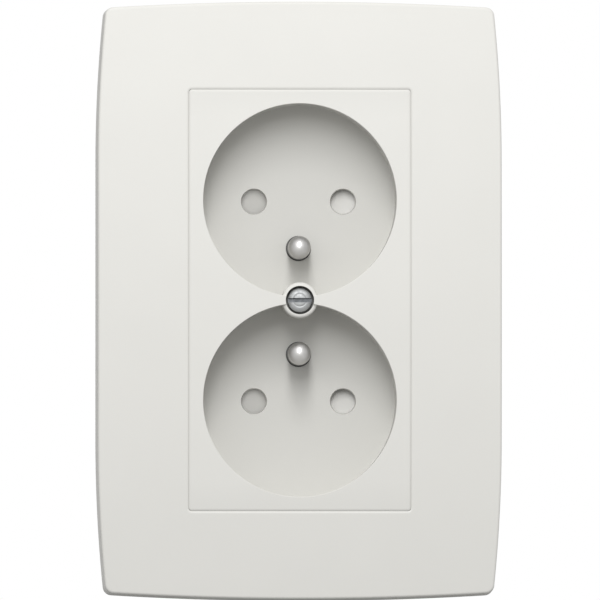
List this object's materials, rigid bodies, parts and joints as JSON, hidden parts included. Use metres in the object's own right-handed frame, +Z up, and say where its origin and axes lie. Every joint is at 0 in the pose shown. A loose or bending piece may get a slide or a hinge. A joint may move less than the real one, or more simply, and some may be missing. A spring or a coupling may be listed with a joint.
{
  "type": "double wall socket",
  "caption": "Flush-mounted double wall socket: domed cover frame, two round wells with earth pins and rotary shutters, and a clawed contact block for a round box.",
  "frame": {"origin": "on the wall plane, on the axis of the central screw", "axes": "+Z up, +X to the right seen from the front, -Y out of the wall towards the user"},
  "size_m": [0.0864, 0.0491, 0.1278],
  "materials": {
    "frame_plastic": "fine matt moulded off-white plastic",
    "cover_plastic": "fine matt moulded off-white plastic",
    "shutter_plastic": "smooth moulded off-white plastic",
    "base_plastic": "light grey thermosetting plastic",
    "rear_plastic": "dark grey moulded plastic",
    "button_plastic": "orange moulded plastic",
    "nickel": "nickel-plated brass, turned",
    "screw_steel": "bright zinc-plated steel",
    "zinc_steel": "zinc-plated steel sheet",
    "spring_steel": "stainless spring steel",
    "contact_brass": "rolled brass strip"
  },
  "bodies": {
    "housing": {"cover_frame": "frame_plastic", "socket_cover": "cover_plastic", "centre_screw": "screw_steel", "shutter_spring_upper": "spring_steel", "shutter_spring_lower": "spring_steel", "shutter_retainer_upper": "spring_steel", "shutter_retainer_lower": "spring_steel", "support_frame": "zinc_steel", "contact_base": "base_plastic", "rear_cover": "rear_plastic", "earth_bridge": "contact_brass", "earth_pin_upper": "nickel", "earth_pin_lower": "nickel", "line_contact_strip": "contact_brass", "neutral_contact_strip": "contact_brass", "clip_spring_line_upper": "spring_steel", "clip_spring_line_lower": "spring_steel", "clip_spring_neutral_upper": "spring_steel", "clip_spring_neutral_lower": "spring_steel", "earth_terminal": "contact_brass", "terminal_spring_line": "spring_steel", "terminal_spring_neutral": "spring_steel", "terminal_spring_earth": "spring_steel", "frame_rivets": "zinc_steel", "bridge_rivets": "zinc_steel", "case_screws": "zinc_steel", "claw_pivot_left": "zinc_steel", "claw_pivot_right": "zinc_steel", "claw_screw_left": "zinc_steel", "claw_screw_right": "zinc_steel"},
    "shutter_upper_body": {"shutter_upper": "shutter_plastic"},
    "shutter_lower_body": {"shutter_lower": "shutter_plastic"},
    "release_button_line_body": {"release_button_line": "button_plastic"},
    "release_button_neutral_body": {"release_button_neutral": "button_plastic"},
    "release_button_earth_body": {"release_button_earth": "button_plastic"},
    "claw_left_body": {"claw_left": "zinc_steel"},
    "claw_right_body": {"claw_right": "zinc_steel"},
    "claw_nut_left_body": {"claw_nut_left": "zinc_steel"},
    "claw_nut_right_body": {"claw_nut_right": "zinc_steel"}
  },
  "joints": [
    {"name": "shutter_upper_turn", "type": "hinge", "parent": "housing", "child": "shutter_upper_body", "pos_m": [0, -0.0033, 0.0213], "axis": [0, 1, 0], "range_deg": [0, 42], "stiffness_Nm_per_rad": 0.002, "springref_deg": -20.05, "deforming": ["shutter_spring_upper"]},
    {"name": "shutter_lower_turn", "type": "hinge", "parent": "housing", "child": "shutter_lower_body", "pos_m": [0, -0.0033, -0.0213], "axis": [0, 1, 0], "range_deg": [0, 42], "stiffness_Nm_per_rad": 0.002, "springref_deg": -20.05, "deforming": ["shutter_spring_lower"]},
    {"name": "release_line_press", "type": "slide", "parent": "housing", "child": "release_button_line_body", "axis": [0, -1, 0], "range_m": [0, 0.0016], "stiffness_N_per_m": 400, "springref_m": -0.0004, "deforming": ["terminal_spring_line"]},
    {"name": "release_neutral_press", "type": "slide", "parent": "housing", "child": "release_button_neutral_body", "axis": [0, -1, 0], "range_m": [0, 0.0016], "stiffness_N_per_m": 400, "springref_m": -0.0004, "deforming": ["terminal_spring_neutral"]},
    {"name": "release_earth_press", "type": "slide", "parent": "housing", "child": "release_button_earth_body", "axis": [0, -1, 0], "range_m": [0, 0.0016], "stiffness_N_per_m": 400, "springref_m": -0.0004, "deforming": ["terminal_spring_earth"]},
    {"name": "claw_left_swing", "type": "hinge", "parent": "housing", "child": "claw_left_body", "pos_m": [-0.0266, 0.0026, 0], "axis": [0, 0, 1], "range_deg": [0, 16]},
    {"name": "claw_nut_left_travel", "type": "slide", "parent": "housing", "child": "claw_nut_left_body", "axis": [0, -1, 0], "range_m": [0, 0.00952]},
    {"name": "claw_right_swing", "type": "hinge", "parent": "housing", "child": "claw_right_body", "pos_m": [0.0266, 0.0026, 0], "axis": [0, 0, -1], "range_deg": [0, 16]},
    {"name": "claw_nut_right_travel", "type": "slide", "parent": "housing", "child": "claw_nut_right_body", "axis": [0, -1, 0], "range_m": [0, 0.00952]}
  ],
  "couplings": [
    {"joint": "claw_nut_left_travel", "follows": "claw_left_swing", "m_per_rad": 0.034019},
    {"joint": "claw_nut_right_travel", "follows": "claw_right_swing", "m_per_rad": 0.034019}
  ]
}
